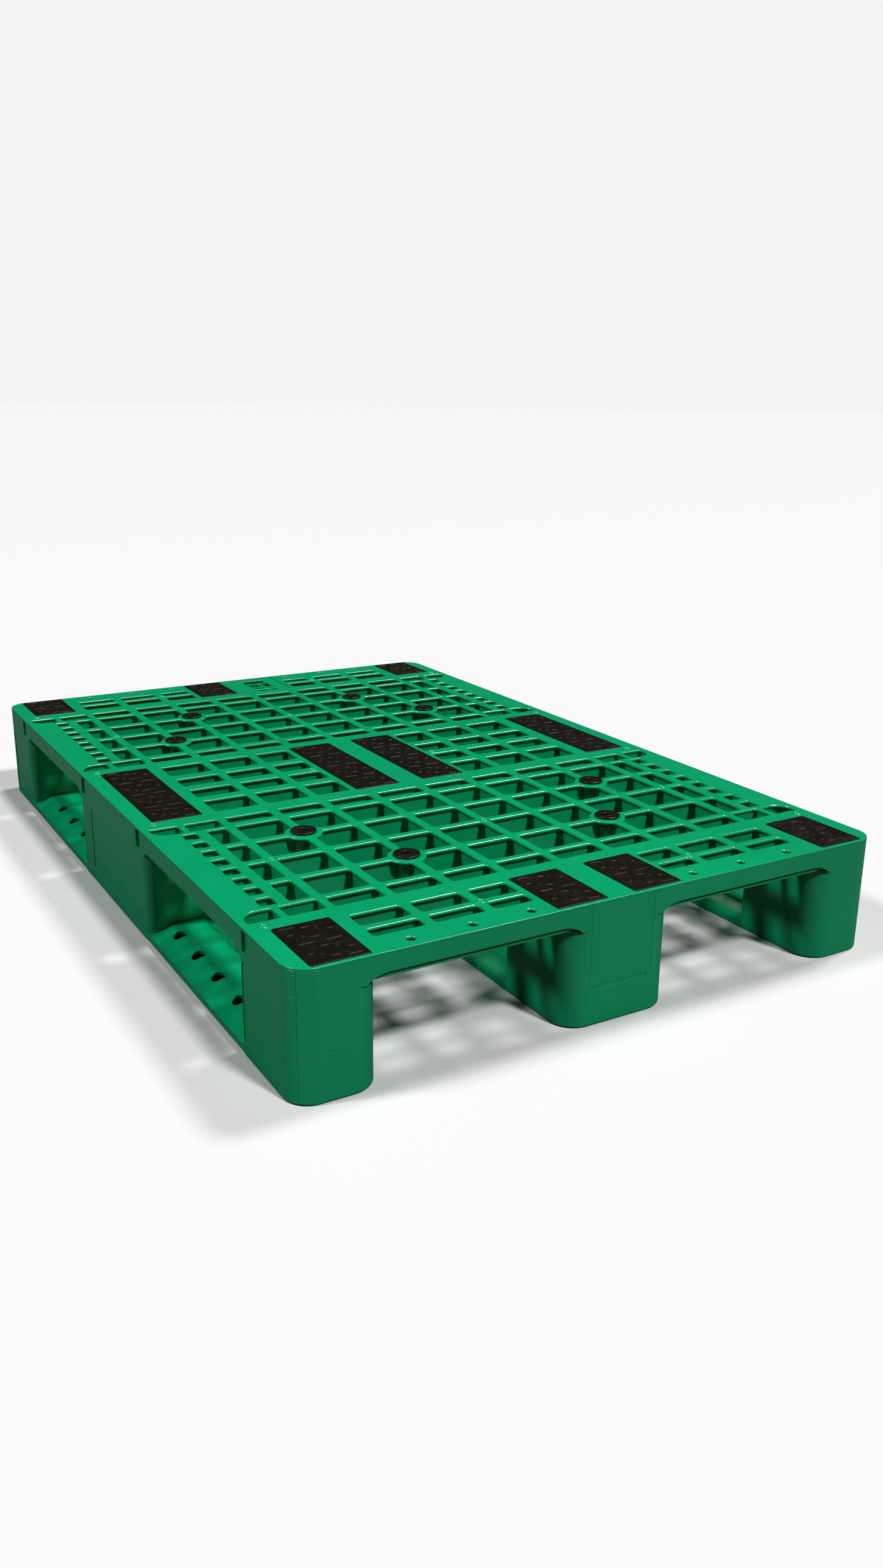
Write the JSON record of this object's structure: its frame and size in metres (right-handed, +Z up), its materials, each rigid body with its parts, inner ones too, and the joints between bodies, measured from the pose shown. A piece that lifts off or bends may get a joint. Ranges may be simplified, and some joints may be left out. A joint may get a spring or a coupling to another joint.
{
  "type": "plastic pallet",
  "caption": "Plastic pallet with an open grid deck on ramped runners, anti-slip pads and rubber grommets in the deck, and fork entry from every side.",
  "frame": {"origin": "on the floor, under the middle of the pallet", "axes": "+X across the pallet, +Y along its length with the pictured short side at -Y, +Z up; the runners run along Y"},
  "size_m": [0.8, 1.2, 0.1535],
  "materials": {
    "deck_plastic": "satin moulded polyethylene, green",
    "runner_plastic": "satin moulded polyethylene, green",
    "pad_rubber": "matt black rubber with a raised tread",
    "grommet_rubber": "satin black rubber"
  },
  "bodies": {
    "root": {"top_deck": "deck_plastic", "runner_left": "runner_plastic", "runner_centre": "runner_plastic", "runner_right": "runner_plastic", "short_pad_1": "pad_rubber", "short_pad_2": "pad_rubber", "short_pad_3": "pad_rubber", "short_pad_4": "pad_rubber", "short_pad_5": "pad_rubber", "short_pad_6": "pad_rubber", "short_pad_7": "pad_rubber", "long_pad_1": "pad_rubber", "long_pad_2": "pad_rubber", "long_pad_3": "pad_rubber", "long_pad_4": "pad_rubber", "grommet_1": "grommet_rubber", "grommet_2": "grommet_rubber", "grommet_3": "grommet_rubber", "grommet_4": "grommet_rubber", "grommet_5": "grommet_rubber", "grommet_6": "grommet_rubber", "grommet_7": "grommet_rubber", "grommet_8": "grommet_rubber"}
  },
  "joints": []
}
